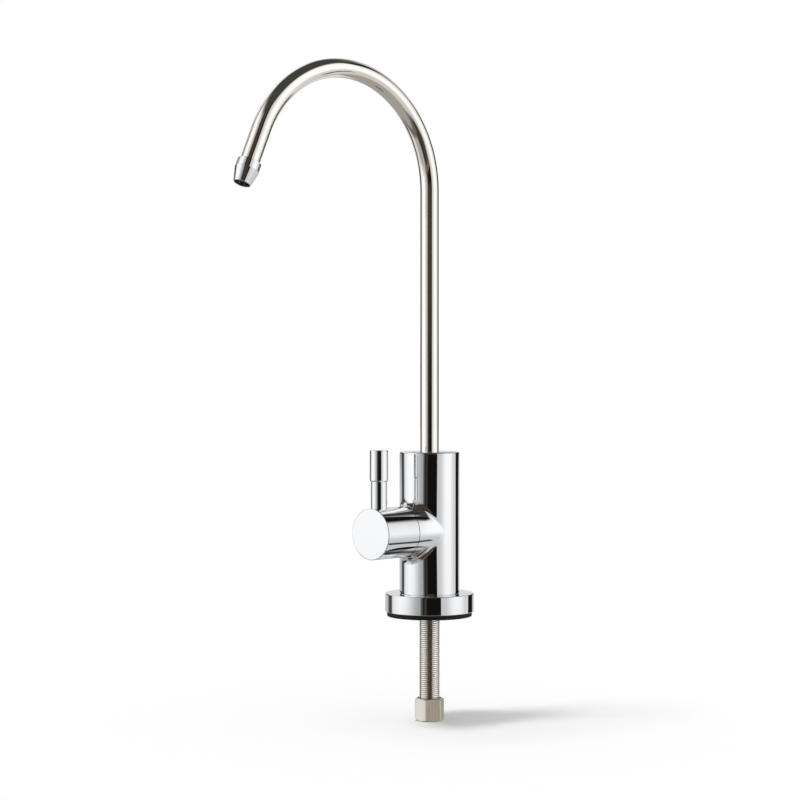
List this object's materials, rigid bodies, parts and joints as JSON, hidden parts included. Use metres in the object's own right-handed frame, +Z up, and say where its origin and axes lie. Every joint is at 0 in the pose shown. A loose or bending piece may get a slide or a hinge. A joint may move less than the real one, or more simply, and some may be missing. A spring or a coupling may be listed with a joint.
{
  "type": "drinking-water tap",
  "caption": "Single-lever drinking-water tap with a tall swivelling gooseneck spout, a round base flange and a threaded shank.",
  "frame": {"origin": "centre of the gasket's underside, where it rests on the counter", "axes": "+Z up along the body and the shank, -Y the way that the handle points, YZ the plane of symmetry; the spout at rest stands 4.5 degrees beside the handle, as in the picture, towards -X"},
  "size_m": [0.048, 0.1553, 0.3515],
  "materials": {
    "chrome": "bright chrome plating",
    "polished_steel": "polished, warm nickel tint",
    "warm_nickel": "nickel-plated thread",
    "satin_nickel": "satin nickel",
    "black_rubber": "smooth black rubber",
    "brass": "turned brass",
    "white_plastic": "matt moulded plastic",
    "black_plastic": "matt moulded plastic",
    "ceramic": "lapped white ceramic",
    "spring_steel": "spring steel"
  },
  "bodies": {
    "tap_body": {"valve_body": "chrome", "base_flange": "chrome", "base_gasket": "black_rubber", "threaded_shank": "warm_nickel", "shank_seal": "black_rubber", "compression_nut": "satin_nickel", "compression_ferrule": "brass", "spout_washer": "white_plastic", "spout_bush": "chrome", "cartridge_seal": "black_rubber", "cartridge_housing": "white_plastic", "housing_o_ring": "black_rubber", "fixed_ceramic_disc": "ceramic", "cartridge_nut": "brass"},
    "spout": {"spout_tube": "polished_steel", "spout_sleeve": "brass", "spout_o_rings": "black_rubber", "nozzle_collar": "chrome", "nozzle_tip": "chrome", "nozzle_seal": "black_rubber", "flow_straightener": "black_plastic"},
    "handle": {"turning_ceramic_disc": "ceramic", "valve_spindle": "brass", "spindle_o_rings": "black_rubber", "spindle_clip": "spring_steel", "handle_knob": "chrome", "grub_screw": "spring_steel", "lever_pin": "chrome", "lever_grip": "chrome"}
  },
  "joints": [
    {"name": "spout_swivel", "type": "hinge", "parent": "tap_body", "child": "spout", "pos_m": [0, 0, 0.0755], "axis": [0, 0, 1], "continuous": true},
    {"name": "handle_turn", "type": "hinge", "parent": "tap_body", "child": "handle", "pos_m": [0, -0.03, 0.0466], "axis": [0, -1, 0], "range_deg": [0, 90]}
  ]
}
